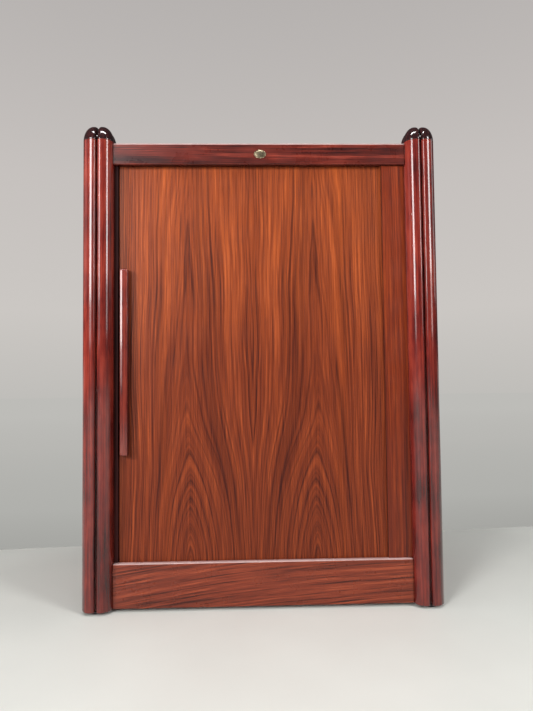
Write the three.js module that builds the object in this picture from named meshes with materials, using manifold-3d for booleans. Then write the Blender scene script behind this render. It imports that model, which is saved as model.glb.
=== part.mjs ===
// Record cabinet with four fluted corner posts and a tambour door that slides to the right.
// Millimetres, +Z up. The origin is on the floor under the middle of the cabinet, and the front faces -Y.

import * as THREE from 'three';
import { mergeVertices } from 'three/addons/utils/BufferGeometryUtils.js';
import Module from 'manifold-3d';

// Driving dimensions
const overallWidth = 803;
const overallDepth = 450;
const glideHeight = 6;
const railFloorGap = 7;
const bottomRailHeight = 98;
const openingHeight = 895;
const topRailHeight = 50;
const postStandsAboveRail = 2.4;
const fitGap = 0.3;
const cutOverrun = 5;

// Corner posts: four rounded staves round a core, with a groove between each two
const postHalf = 34;
const cornerRadius = 24;
const lipRadius = 6;
const grooveWidth = 3.6;
const grooveWallDepth = 5.5;
const cornerSteps = 6;
const lipSteps = 3;

// Dome on each post, with the grooves running up over it
const domeHeight = 35.8;
const domeCreaseDepth = 5;
const domeTopInset = 0.8;
const domeRings = 7;
const spigotRadius = 5;
const spigotLength = 16;
const roundSteps = 16;

// Foot glide under each post
const glideRadius = 24;
const glideEdgeRound = 2;
const glidePinRadius = 4;
const glidePinLength = 14;

// Rails and their joints
const railThick = 28;
const railSetback = 17.5;
const railTopRound = 4;
const railLowRound = 3;
const railRoundSteps = 4;
const tenonThick = 9;
const tenonShoulder = 10;
const tenonEndClearance = 1.5;

// Boards and panels
const topPanelThick = 24;
const floorBoardThick = 26;
const panelThick = 8;
const panelGrooveDepth = 8;
const linerThick = 6;
const cleatSize = 20;
const cleatEndGap = 7;

// Tambour door
const doorRecess = 15.5;
const slatThick = 6;
const slatCount = 57;
const slatGrooveWidth = 1.4;
const slatGrooveDepth = 1;
const canvasThick = 0.8;
const glueGap = 0.2;
const canvasTrim = 12;
const leadStileWidth = 27;
const leadStileThick = 7;
const strikeWidth = 9.7;
const strikeSetback = 9.5;
const strikeThick = 14;
const doorSideGap = 0.6;
const trackSideClearance = 0.8;
const trackDepth = 9;
const doorBottomClearance = 0.4;
const doorTopClearance = 0.6;
const trackRadius = 45;
const trackStartGap = 2;
const trackBackRunLength = 240;
const trackArcSteps = 10;
const cornerTailLength = 30;
const cornerSlatCount = 10;
const arcBehindStile = 1.5;
const trackRearWall = 5.4;

// Fixed stile that the door runs behind
const fixedStileWidth = 53.5;
const fixedStileSetback = 8;
const fixedStileThick = 6.2;

// Long pull on the leading edge
const handleLength = 431;
const handleWidth = 17;
const handleProud = 16;
const handleFrontRound = 6;
const handleEndRound = 5;
const handleCoveRadius = 5;
const handleCoveDepth = 3;
const handleCentreHeight = 556;
const handleArcSteps = 6;
const screwHeadRadius = 3.6;
const screwHeadHeight = 2.4;
const screwShankRadius = 1.8;
const screwBite = 9;
const screwSteps = 10;
const screwEndInset = 50;

// Oval plate on the top rail
const badgeWidth = 28;
const badgeHeight = 20;
const badgeBelowMiddle = 1.5;
const badgeThick = 1.2;
const badgeDome = 1.4;
const badgeSteps = 28;
const badgeRings = 4;

// Inside: liners, shelves, dividers and shelf pins
const linerClearOfTrack = 12.5;
const shelfThick = 18;
const recordBayHeight = 345;
const shelfFrontSetback = 3;
const dividerThick = 8;
const dividerFrontSetback = 12;
const dividersPerBay = 2;
const pinRadius = 2.5;
const pinLength = 14;
const pinSteps = 10;
const pinEndInset = 45;

// Heights that the driving dimensions give
const railBottom = railFloorGap;
const floorLevel = railBottom + bottomRailHeight;
const ceilingLevel = floorLevel + openingHeight;
const railTop = ceilingLevel + topRailHeight;
const postTop = railTop + postStandsAboveRail;

// Plan positions that the driving dimensions give
const postX = overallWidth / 2 - postHalf;
const postY = overallDepth / 2 - postHalf;
const cornerCentre = postHalf - cornerRadius;
const lipCentre = postHalf - lipRadius;
const lipAcross = grooveWidth / 2 + lipRadius;
const grooveReach = lipCentre - grooveWallDepth;
const railFaceOffset = postHalf - railSetback;
const frontFaceY = -postY - railFaceOffset;
const frontRailBackY = frontFaceY + railThick;
const sideFaceX = postX + railFaceOffset;
const sideRailInnerX = sideFaceX - railThick;
const postInnerX = postX - postHalf;

// Places of the door and its track
const doorFaceY = frontFaceY + doorRecess;
const trackFrontY = doorFaceY + slatThick / 2;
const doorLeft = -postInnerX + strikeWidth;
const leadStileRight = doorLeft + leadStileWidth;
const fixedStileLeft = postInnerX - fixedStileWidth;
const arcStartX = fixedStileLeft + arcBehindStile;
const trackSideX = arcStartX + trackRadius;
const trackOut = slatThick / 2 + trackSideClearance;
const trackRearY = -frontRailBackY - fitGap - trackRearWall - trackOut;
const trackIn = slatThick / 2 + glueGap + canvasThick + trackSideClearance;
const doorBottom = floorLevel - trackDepth + doorBottomClearance;
const doorTop = ceilingLevel + trackDepth - doorTopClearance;

// Inner faces of the liners
const rightLinerX = trackSideX - trackIn - linerClearOfTrack - linerThick;
const leftLinerX = -postInnerX + linerThick + fitGap;
const rearLinerY = trackRearY - trackIn - linerClearOfTrack - linerThick;
const insideFrontY = frontRailBackY + fitGap;
const linerFromArcCentre = rightLinerX + linerThick - arcStartX;
const rightLinerFrontY = trackFrontY + trackRadius + fitGap
  - Math.sqrt((trackRadius - trackIn) ** 2 - linerFromArcCentre ** 2);

const wasm = await Module();
wasm.setup();

const finishes = {
  post: { color: 0x7d3c3a, roughness: 0.32, metalness: 0 },
  rail: { color: 0x733a33, roughness: 0.4, metalness: 0 },
  panel: { color: 0x7d4236, roughness: 0.42, metalness: 0 },
  tambour: { color: 0x8e4b38, roughness: 0.42, metalness: 0 },
  ebonised: { color: 0x1b1215, roughness: 0.22, metalness: 0 },
  inside: { color: 0x9a6a4a, roughness: 0.6, metalness: 0 },
  canvas: { color: 0x8d8068, roughness: 0.95, metalness: 0 },
  brass: { color: 0xb08d45, roughness: 0.3, metalness: 1 },
  steel: { color: 0x8d8f92, roughness: 0.35, metalness: 1 },
  felt: { color: 0x2a2320, roughness: 0.9, metalness: 0 },
};

const cabinet = new THREE.Group();

// Turns a closed three.js geometry into a solid that can be cut and joined.
function toSolid(geometry) {
  const bare = geometry.clone();
  bare.deleteAttribute('normal');
  bare.deleteAttribute('uv');
  const merged = mergeVertices(bare);
  return new wasm.Manifold(new wasm.Mesh({
    numProp: 3,
    vertProperties: new Float32Array(merged.attributes.position.array),
    triVerts: new Uint32Array(merged.index.array),
  }));
}

function toGeometry(solid) {
  const mesh = solid.getMesh();
  const geometry = new THREE.BufferGeometry();
  geometry.setAttribute('position', new THREE.BufferAttribute(mesh.vertProperties, mesh.numProp));
  geometry.setIndex(new THREE.BufferAttribute(mesh.triVerts, 1));
  geometry.computeVertexNormals();
  return geometry;
}

function addPart(name, geometry, finish, x = 0, y = 0, z = 0, turn = 0) {
  const mesh = new THREE.Mesh(geometry, new THREE.MeshStandardMaterial(finishes[finish]));
  mesh.name = name;
  mesh.position.set(x, y, z);
  mesh.rotation.z = turn;
  cabinet.add(mesh);
  return mesh;
}

// A box from its low corner to its high corner.
function block(low, high) {
  const size = new THREE.Vector3().subVectors(high, low);
  const centre = new THREE.Vector3().addVectors(low, high).multiplyScalar(1 / 2);
  return new THREE.BoxGeometry(size.x, size.y, size.z).translate(centre.x, centre.y, centre.z);
}

function at(x, y, z) {
  return new THREE.Vector3(x, y, z);
}

// An outline in plan, raised from one height to another.
function raise(points, bottom, top) {
  const shape = new THREE.Shape(points);
  return new THREE.ExtrudeGeometry(shape, { depth: top - bottom, bevelEnabled: false })
    .translate(0, 0, bottom);
}

// An outline whose x is the depth (Y) and whose y is the height (Z), drawn out along X.
function drawAlongX(points, from, to) {
  const turn = new THREE.Matrix4().makeBasis(at(0, 1, 0), at(0, 0, 1), at(1, 0, 0));
  const geometry = new THREE.ExtrudeGeometry(new THREE.Shape(points), { depth: to - from, bevelEnabled: false });
  return geometry.applyMatrix4(turn).translate(from, 0, 0);
}

// An outline whose x is X and whose y is the height (Z), drawn back along Y.
function drawAlongY(points, from, to) {
  const turn = new THREE.Matrix4().makeBasis(at(1, 0, 0), at(0, 0, 1), at(0, -1, 0));
  const geometry = new THREE.ExtrudeGeometry(new THREE.Shape(points), { depth: to - from, bevelEnabled: false });
  return geometry.applyMatrix4(turn).translate(0, to, 0);
}

// Points of an arc, with both ends.
function arcPoints(centreX, centreY, radius, startAngle, endAngle, steps) {
  const points = [];
  for (let i = 0; i <= steps; i += 1) {
    const angle = startAngle + ((endAngle - startAngle) * i) / steps;
    points.push(new THREE.Vector2(centreX + radius * Math.cos(angle), centreY + radius * Math.sin(angle)));
  }
  return points;
}

// Section of a post: large rounds at its corners, small ones at the lips of the groove in each side.
function postOutline(grow) {
  const groove = grooveWidth / 2 - grow;
  const reach = grooveReach + grow;
  const lip = lipRadius + grow;
  const stave = [
    new THREE.Vector2(reach, groove),
    ...arcPoints(lipCentre, lipAcross, lip, -Math.PI / 2, 0, lipSteps),
    ...arcPoints(cornerCentre, cornerCentre, cornerRadius + grow, 0, Math.PI / 2, cornerSteps),
    ...arcPoints(lipAcross, lipCentre, lip, Math.PI / 2, Math.PI, lipSteps),
    new THREE.Vector2(groove, reach),
  ];
  const points = [];
  for (let quarter = 0; quarter < 4; quarter += 1) {
    for (const point of stave) {
      points.push(point.clone().rotateAround(new THREE.Vector2(), (quarter * Math.PI) / 2));
    }
  }
  return points;
}

// Cylinder along Z that starts at the given height.
function upright(radius, bottom, top, steps) {
  return new THREE.CylinderGeometry(radius, radius, top - bottom, steps)
    .rotateX(Math.PI / 2)
    .translate(0, 0, (bottom + top) / 2);
}

// Space that the four posts need, which cuts whatever meets them.
function postClearance() {
  const outline = postOutline(fitGap);
  let cutter = null;
  for (const sideX of [-1, 1]) {
    for (const sideY of [-1, 1]) {
      const column = toSolid(raise(outline, 0, postTop + cutOverrun).translate(sideX * postX, sideY * postY, 0));
      cutter = cutter ? cutter.add(column) : column;
    }
  }
  return cutter;
}

const postSpace = postClearance();

// Corner posts, with mortises for the two rails that meet each of them at the top and at the bottom.
const tenonHeights = [
  [railBottom + tenonShoulder, floorLevel - tenonShoulder],
  [ceilingLevel + tenonShoulder, railTop - tenonShoulder],
];
const tenonReach = Math.max(spigotRadius, glidePinRadius) + tenonEndClearance;

function makePostGeometry() {
  let post = toSolid(raise(postOutline(0), glideHeight, postTop));
  const halfMortise = tenonThick / 2 + fitGap;
  for (const [low, high] of tenonHeights) {
    const alongX = block(at(tenonReach - fitGap, -halfMortise, low - fitGap),
      at(postHalf, halfMortise, high + fitGap));
    const alongY = block(at(-halfMortise, tenonReach - fitGap, low - fitGap),
      at(halfMortise, postHalf, high + fitGap));
    post = post.subtract(toSolid(alongX)).subtract(toSolid(alongY));
  }
  const topHole = upright(spigotRadius + fitGap, postTop - spigotLength - fitGap, postTop + cutOverrun, roundSteps);
  const glideHole = upright(glidePinRadius + fitGap, glideHeight - cutOverrun,
    glideHeight + glidePinLength + fitGap, roundSteps);
  return toGeometry(post.subtract(toSolid(topHole)).subtract(toSolid(glideHole)));
}

// A point of the section, carried up the dome and inwards. The groove's floor rises less than its lips.
function domePoint(point, rise) {
  const x = Math.abs(point.x);
  const y = Math.abs(point.y);
  const shorter = Math.min(x, y);
  if (shorter > cornerCentre) {
    const share = Math.cos(rise);
    return at(Math.sign(point.x) * (cornerCentre + (x - cornerCentre) * share),
      Math.sign(point.y) * (cornerCentre + (y - cornerCentre) * share), domeHeight * Math.sin(rise));
  }
  const longer = Math.max(x, y);
  const drop = (domeCreaseDepth * (postHalf - longer)) / (postHalf - grooveReach);
  const inwards = Math.max(shorter, longer - cornerRadius * (1 - Math.cos(rise)));
  const height = (domeHeight - drop) * Math.sin(rise);
  return x > y ? at(Math.sign(point.x) * inwards, point.y, height) : at(point.x, Math.sign(point.y) * inwards, height);
}

// Faces that close a ring of the section: strips across each stave, and the core between them.
function closeRing(first, count, centre) {
  const faces = [];
  const stave = count / 4;
  for (let quarter = 0; quarter < 4; quarter += 1) {
    const start = first + quarter * stave;
    const end = start + stave - 1;
    for (let i = 0; i < Math.floor(stave / 2); i += 1) {
      faces.push([start + i, start + i + 1, end - i]);
      if (start + i + 1 < end - i - 1) {
        faces.push([start + i + 1, end - i - 1, end - i]);
      }
    }
    const next = first + ((quarter + 1) % 4) * stave;
    faces.push([centre, start, end], [centre, end, next]);
  }
  return faces;
}

function makeCapGeometry() {
  const outline = postOutline(0);
  const count = outline.length;
  const positions = [];
  const faces = [];
  const lastRing = domeRings - 1;
  for (let ring = 0; ring < domeRings; ring += 1) {
    const rise = (ring / lastRing) * Math.acos(domeTopInset / cornerRadius);
    for (const point of outline) {
      positions.push(...domePoint(point, rise));
    }
  }
  const crown = domeRings * count;
  positions.push(0, 0, domeHeight - domeCreaseDepth);
  positions.push(0, 0, 0);
  for (let i = 0; i < count; i += 1) {
    const next = (i + 1) % count;
    for (let ring = 0; ring < lastRing; ring += 1) {
      const lower = ring * count;
      const upper = lower + count;
      faces.push(lower + i, lower + next, upper + next);
      faces.push(lower + i, upper + next, upper + i);
    }
  }
  faces.push(...closeRing(lastRing * count, count, crown).flat());
  faces.push(...closeRing(0, count, crown + 1).map((face) => face.reverse()).flat());
  const geometry = new THREE.BufferGeometry();
  geometry.setAttribute('position', new THREE.Float32BufferAttribute(positions, 3));
  geometry.setIndex(faces);
  const spigot = upright(spigotRadius, -spigotLength, domeHeight / 2, roundSteps);
  return toGeometry(toSolid(geometry).add(toSolid(spigot)));
}

// Turned glide: a disc with a rounded rim and a pin that goes up into the post.
function makeGlideGeometry() {
  const rim = arcPoints(glideRadius - glideEdgeRound, glideEdgeRound, glideEdgeRound, -Math.PI / 2, 0, railRoundSteps);
  const profile = [
    new THREE.Vector2(0, 0),
    ...rim,
    new THREE.Vector2(glideRadius, glideHeight),
    new THREE.Vector2(glidePinRadius, glideHeight),
    new THREE.Vector2(glidePinRadius, glideHeight + glidePinLength),
    new THREE.Vector2(0, glideHeight + glidePinLength),
  ];
  return new THREE.LatheGeometry(profile, roundSteps + railRoundSteps).rotateX(Math.PI / 2);
}

const corners = [
  { name: 'front_left', x: -postX, y: -postY, turn: 0 },
  { name: 'front_right', x: postX, y: -postY, turn: Math.PI / 2 },
  { name: 'rear_right', x: postX, y: postY, turn: Math.PI },
  { name: 'rear_left', x: -postX, y: postY, turn: -Math.PI / 2 },
];

function addPosts() {
  const post = makePostGeometry();
  const cap = makeCapGeometry();
  const glide = makeGlideGeometry();
  for (const corner of corners) {
    addPart(`post_${corner.name}`, post, 'post', corner.x, corner.y, 0, corner.turn);
    addPart(`cap_${corner.name}`, cap, 'ebonised', corner.x, corner.y, postTop);
    addPart(`glide_${corner.name}`, glide, 'felt', corner.x, corner.y, 0);
  }
}

// Section of a rail seen from its end, with its outer face at zero depth and its edges eased.
function railOutline(bottom, top) {
  return [
    ...arcPoints(railLowRound, bottom + railLowRound, railLowRound, (3 * Math.PI) / 2, Math.PI, railRoundSteps),
    ...arcPoints(railTopRound, top - railTopRound, railTopRound, Math.PI, Math.PI / 2, railRoundSteps),
    new THREE.Vector2(railThick, top),
    new THREE.Vector2(railThick, bottom),
  ].reverse();
}

// A rail that lies along X with its outer face towards -Y, scribed to both posts and tenoned into them.
function makeRail(bottom, top, postDistance) {
  const faceY = -railFaceOffset;
  const groove = postDistance - grooveReach;
  const body = toSolid(drawAlongX(railOutline(bottom, top), -postDistance, postDistance).translate(0, faceY, 0));
  const outline = postOutline(fitGap);
  const post = raise(outline, bottom - cutOverrun, top + cutOverrun);
  const left = toSolid(post.clone().translate(-postDistance, 0, 0));
  const right = toSolid(post.clone().translate(postDistance, 0, 0));
  const reachBeyond = postDistance - tenonReach;
  const tenon = toSolid(block(at(-reachBeyond, -tenonThick / 2, bottom + tenonShoulder),
    at(reachBeyond, tenonThick / 2, top - tenonShoulder)));
  const between = toSolid(block(at(-groove, faceY - cutOverrun, bottom - cutOverrun),
    at(groove, railThick + cutOverrun, top + cutOverrun)));
  return body.subtract(left).subtract(right).intersect(between).add(tenon);
}

// Groove for a panel's edge, on the post's axis.
function panelGroove(bottom, top, length) {
  const half = panelThick / 2 + fitGap;
  return toSolid(block(at(-length, -half, bottom), at(length, half, top)));
}

// The door's track in plan: front run, front corner, side run, rear corner, rear run.
const trackStartX = doorLeft - trackStartGap;
const trackSpans = {
  front: arcStartX - trackStartX,
  corner: (Math.PI / 2) * trackRadius,
  side: trackRearY - trackFrontY - 2 * trackRadius,
  rear: trackBackRunLength,
};
const cornerStart = trackSpans.front;
const sideStart = cornerStart + trackSpans.corner;
const rearCornerStart = sideStart + trackSpans.side;
const rearStart = rearCornerStart + trackSpans.corner;
const trackLength = rearStart + trackSpans.rear;

// A point of the track at a distance from its start, and so far outside its middle line.
function trackPoint(distance, outside) {
  const radius = trackRadius + outside;
  if (distance <= cornerStart) {
    return new THREE.Vector2(trackStartX + distance, trackFrontY - outside);
  }
  if (distance <= sideStart) {
    const angle = (distance - cornerStart) / trackRadius;
    return new THREE.Vector2(arcStartX + radius * Math.sin(angle),
      trackFrontY + trackRadius - radius * Math.cos(angle));
  }
  if (distance <= rearCornerStart) {
    return new THREE.Vector2(trackSideX + outside, trackFrontY + trackRadius + distance - sideStart);
  }
  if (distance <= rearStart) {
    const angle = (distance - rearCornerStart) / trackRadius;
    return new THREE.Vector2(arcStartX + radius * Math.cos(angle),
      trackRearY - trackRadius + radius * Math.sin(angle));
  }
  return new THREE.Vector2(arcStartX - (distance - rearStart), trackRearY + outside);
}

// Closed outline between two offsets of the track, through the given distances along it.
function trackBand(distances, inside, outside) {
  const outer = distances.map((distance) => trackPoint(distance, outside));
  const inner = distances.map((distance) => trackPoint(distance, -inside)).reverse();
  return [...outer, ...inner];
}

function cornerDistances(start) {
  const distances = [];
  for (let i = 0; i <= trackArcSteps; i += 1) {
    distances.push(start + (trackSpans.corner * i) / trackArcSteps);
  }
  return distances;
}

function trackGroove(bottom, top) {
  const distances = [0, ...cornerDistances(cornerStart), ...cornerDistances(rearCornerStart), trackLength];
  return toSolid(raise(trackBand(distances, trackIn, trackOut), bottom, top));
}

const topGroove = trackGroove(ceilingLevel - cutOverrun, ceilingLevel + trackDepth);
const bottomGroove = trackGroove(floorLevel - trackDepth, floorLevel + cutOverrun);

// The rails round the case. Those at the back and the sides hold the panels' edges.
function addRails() {
  const frontTop = makeRail(ceilingLevel, railTop, postX).translate([0, -postY, 0]).subtract(topGroove);
  const frontBottom = makeRail(railBottom, floorLevel, postX).translate([0, -postY, 0]).subtract(bottomGroove);
  addPart('front_top_rail', toGeometry(frontTop), 'rail');
  addPart('front_bottom_rail', toGeometry(frontBottom), 'rail');
  const upperPanelGroove = panelGroove(ceilingLevel - cutOverrun, ceilingLevel + panelGrooveDepth + fitGap, postX);
  const lowerPanelGroove = panelGroove(floorLevel - panelGrooveDepth - fitGap, floorLevel + cutOverrun, postX);
  const backTop = toGeometry(makeRail(ceilingLevel, railTop, postX).subtract(upperPanelGroove));
  const backBottom = toGeometry(makeRail(railBottom, floorLevel, postX).subtract(lowerPanelGroove));
  addPart('back_top_rail', backTop, 'rail', 0, postY, 0, Math.PI);
  addPart('back_bottom_rail', backBottom, 'rail', 0, postY, 0, Math.PI);
  const sideTop = toGeometry(makeRail(ceilingLevel, railTop, postY).subtract(upperPanelGroove));
  const sideBottom = toGeometry(makeRail(railBottom, floorLevel, postY).subtract(lowerPanelGroove));
  addPart('left_top_rail', sideTop, 'rail', -postX, 0, 0, -Math.PI / 2);
  addPart('left_bottom_rail', sideBottom, 'rail', -postX, 0, 0, -Math.PI / 2);
  addPart('right_top_rail', sideTop, 'rail', postX, 0, 0, Math.PI / 2);
  addPart('right_bottom_rail', sideBottom, 'rail', postX, 0, 0, Math.PI / 2);
}

// Side and back panels, whose edges lie in the rails' grooves and in the posts' own.
function addPanels() {
  const low = floorLevel - panelGrooveDepth;
  const high = ceilingLevel + panelGrooveDepth;
  const half = panelThick / 2;
  for (const [name, side] of [['left', -1], ['right', 1]]) {
    const panel = block(at(side * postX - half, -postY, low), at(side * postX + half, postY, high));
    addPart(`${name}_side_panel`, toGeometry(largestPiece(toSolid(panel).subtract(postSpace))), 'panel');
  }
  const back = block(at(-postX, postY - half, low), at(postX, postY + half, high));
  addPart('back_panel', toGeometry(largestPiece(toSolid(back).subtract(postSpace))), 'panel');
}

// A board cut by the posts can leave crumbs beyond them, and only the board itself is kept.
function largestPiece(solid) {
  const pieces = solid.decompose();
  pieces.sort((a, b) => b.volume() - a.volume());
  return pieces[0];
}

// Top, ceiling and floor boards lie between the rails, notched round the posts.
function addBoards() {
  const edgeX = sideRailInnerX - fitGap;
  const edgeY = -frontRailBackY - fitGap;
  const underTop = railTop - topPanelThick;
  const boards = [
    { name: 'top_panel', low: underTop, high: railTop, finish: 'rail' },
    { name: 'ceiling_track_board', low: ceilingLevel, high: underTop, finish: 'inside', groove: topGroove },
    { name: 'floor_track_board', low: floorLevel - floorBoardThick, high: floorLevel, finish: 'inside',
      groove: bottomGroove },
  ];
  for (const board of boards) {
    let solid = toSolid(block(at(-edgeX, -edgeY, board.low), at(edgeX, edgeY, board.high))).subtract(postSpace);
    if (board.groove) {
      solid = solid.subtract(board.groove);
    }
    addPart(board.name, toGeometry(largestPiece(solid)), board.finish);
  }
  const cleatTop = floorLevel - floorBoardThick;
  const cleatLength = 2 * (postY - postHalf - cleatEndGap);
  for (const [name, side] of [['left', -1], ['right', 1]]) {
    const cleat = new THREE.BoxGeometry(cleatSize, cleatLength, cleatSize);
    addPart(`floor_cleat_${name}`, cleat, 'inside', side * (edgeX - cleatSize / 2), 0, cleatTop - cleatSize / 2);
  }
}

// Fixed pieces at both ends of the opening.
function addStiles() {
  const fixed = block(at(fixedStileLeft, frontFaceY + fixedStileSetback, floorLevel),
    at(postX - grooveReach, frontFaceY + fixedStileSetback + fixedStileThick, ceilingLevel));
  addPart('fixed_stile', toGeometry(largestPiece(toSolid(fixed).subtract(postSpace))), 'rail');
  const strike = block(at(-postX + grooveReach, frontFaceY + strikeSetback, floorLevel),
    at(doorLeft - doorSideGap, frontFaceY + strikeSetback + strikeThick, ceilingLevel));
  addPart('strike_stile', toGeometry(largestPiece(toSolid(strike).subtract(postSpace))), 'ebonised');
}

// A run of slats in plan: flat faces with a V between them, on the given stretch of the track.
function slatBand(from, to, count) {
  const pitch = (to - from) / count;
  const halfWidth = slatGrooveWidth / 2;
  const halfThick = slatThick / 2;
  const outer = [];
  const inner = [];
  for (let i = 0; i <= count; i += 1) {
    const joint = from + i * pitch;
    if (i > 0) {
      outer.push(trackPoint(joint - halfWidth, halfThick));
    }
    outer.push(trackPoint(joint, halfThick - slatGrooveDepth));
    if (i < count) {
      outer.push(trackPoint(joint + halfWidth, halfThick));
    }
    inner.push(trackPoint(joint, -halfThick));
  }
  return [...outer, ...inner.reverse()];
}

function canvasBand(from, to, count) {
  const distances = [];
  for (let i = 0; i <= count; i += 1) {
    distances.push(from + ((to - from) * i) / count);
  }
  const face = slatThick / 2 + glueGap;
  return trackBand(distances, face + canvasThick, -face);
}

// The door: slats glued to canvas, led by a solid stile that carries the pull.
function addDoor() {
  const from = leadStileRight - trackStartX;
  const canvasLow = doorBottom + canvasTrim;
  const canvasHigh = doorTop - canvasTrim;
  const curtain = raise(slatBand(from + glueGap, cornerStart, slatCount), doorBottom, doorTop);
  addPart('tambour_slats', curtain, 'tambour');
  addPart('tambour_canvas', raise(canvasBand(from + glueGap, cornerStart, 1), canvasLow, canvasHigh), 'canvas');
  const tailEnd = sideStart + cornerTailLength;
  const tailStart = cornerStart + glueGap;
  addPart('tambour_corner', raise(slatBand(tailStart, tailEnd, cornerSlatCount), doorBottom, doorTop), 'tambour');
  addPart('tambour_corner_canvas',
    raise(canvasBand(tailStart, tailEnd, cornerSlatCount), canvasLow, canvasHigh), 'canvas');
  addLeadStile();
}

// Pull in section: rounded front, straight left side, and a cove for the fingertips on the right.
function handleSection() {
  const half = handleWidth / 2;
  const frontY = -handleProud;
  const cove = Math.acos((handleCoveRadius - handleCoveDepth) / handleCoveRadius);
  const coveHalf = handleCoveRadius * Math.sin(cove);
  const coveCentreX = half + handleCoveRadius - handleCoveDepth;
  const coveCentreY = -coveHalf - fitGap;
  return [
    new THREE.Vector2(-half, 0),
    ...arcPoints(-half + handleFrontRound, frontY + handleFrontRound, handleFrontRound,
      Math.PI, (3 * Math.PI) / 2, handleArcSteps),
    ...arcPoints(half - handleFrontRound, frontY + handleFrontRound, handleFrontRound,
      -Math.PI / 2, 0, handleArcSteps),
    ...arcPoints(coveCentreX, coveCentreY, handleCoveRadius, Math.PI + cove, Math.PI - cove, handleArcSteps),
    new THREE.Vector2(half, 0),
  ];
}

// Front view of the pull: a long bar with eased corners.
function handleFrontOutline() {
  const across = handleWidth / 2 - handleEndRound;
  const up = handleLength / 2 - handleEndRound;
  const centres = [[across, up], [-across, up], [-across, -up], [across, -up]];
  return centres.flatMap(([x, y], quarter) => arcPoints(x, y, handleEndRound,
    (quarter * Math.PI) / 2, ((quarter + 1) * Math.PI) / 2, handleArcSteps));
}

// Countersunk wood screw along Y, its head at the back face of the leading stile.
function screwSolid(grow) {
  const profile = [
    new THREE.Vector2(0, 0),
    new THREE.Vector2(screwHeadRadius + grow, 0),
    new THREE.Vector2(screwShankRadius + grow, screwHeadHeight),
    new THREE.Vector2(screwShankRadius + grow, leadStileThick + screwBite + grow),
    new THREE.Vector2(0, leadStileThick + screwBite + grow),
  ];
  return new THREE.LatheGeometry(profile, screwSteps).rotateX(Math.PI);
}

function addLeadStile() {
  const backY = doorFaceY + leadStileThick;
  const centreX = doorLeft + leadStileWidth / 2;
  let stile = toSolid(block(at(doorLeft, doorFaceY, doorBottom), at(leadStileRight, backY, doorTop)));
  const bar = toSolid(raise(handleSection(), -handleLength / 2, handleLength / 2));
  const ends = toSolid(drawAlongY(handleFrontOutline(), -handleProud - cutOverrun, cutOverrun));
  let handle = bar.intersect(ends).translate([centreX, doorFaceY, handleCentreHeight]);
  const screwSpan = handleLength / 2 - screwEndInset;
  [-1, 0, 1].forEach((side, index) => {
    const height = handleCentreHeight + side * screwSpan;
    const hole = toSolid(screwSolid(fitGap)).translate([centreX, backY, height]);
    stile = stile.subtract(hole);
    handle = handle.subtract(hole);
    addPart(`handle_screw_${index + 1}`, screwSolid(0), 'steel', centreX, backY, height);
  });
  addPart('lead_stile', toGeometry(stile), 'tambour');
  addPart('pull_handle', toGeometry(handle), 'post');
}

// Oval plate with a low crown, set on the middle of the top rail.
function addBadge() {
  const positions = [];
  const faces = [];
  for (let ring = 0; ring <= badgeRings; ring += 1) {
    const share = ring === 0 ? 1 : Math.cos(((ring - 1) / badgeRings) * (Math.PI / 2));
    const depth = ring === 0 ? 0 : badgeThick + badgeDome * (1 - share ** 2);
    for (let i = 0; i < badgeSteps; i += 1) {
      const angle = (i / badgeSteps) * 2 * Math.PI;
      positions.push((badgeWidth / 2) * share * Math.cos(angle), -depth, (badgeHeight / 2) * share * Math.sin(angle));
    }
  }
  const crown = (badgeRings + 1) * badgeSteps;
  positions.push(0, -badgeThick - badgeDome, 0);
  positions.push(0, 0, 0);
  for (let i = 0; i < badgeSteps; i += 1) {
    const next = (i + 1) % badgeSteps;
    for (let ring = 0; ring < badgeRings; ring += 1) {
      const lower = ring * badgeSteps;
      const upper = lower + badgeSteps;
      faces.push(lower + i, lower + next, upper + next);
      faces.push(lower + i, upper + next, upper + i);
    }
    const last = badgeRings * badgeSteps;
    faces.push(last + i, last + next, crown);
    faces.push(next, i, crown + 1);
  }
  const plate = new THREE.BufferGeometry();
  plate.setAttribute('position', new THREE.Float32BufferAttribute(positions, 3));
  plate.setIndex(faces);
  plate.computeVertexNormals();
  addPart('badge_plate', plate, 'brass', 0, frontFaceY, (ceilingLevel + railTop) / 2 - badgeBelowMiddle);
}

// Shelf heights: two bays for records and a lower one above them.
const shelfBottoms = [
  floorLevel + recordBayHeight,
  floorLevel + 2 * recordBayHeight + shelfThick,
];

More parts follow.
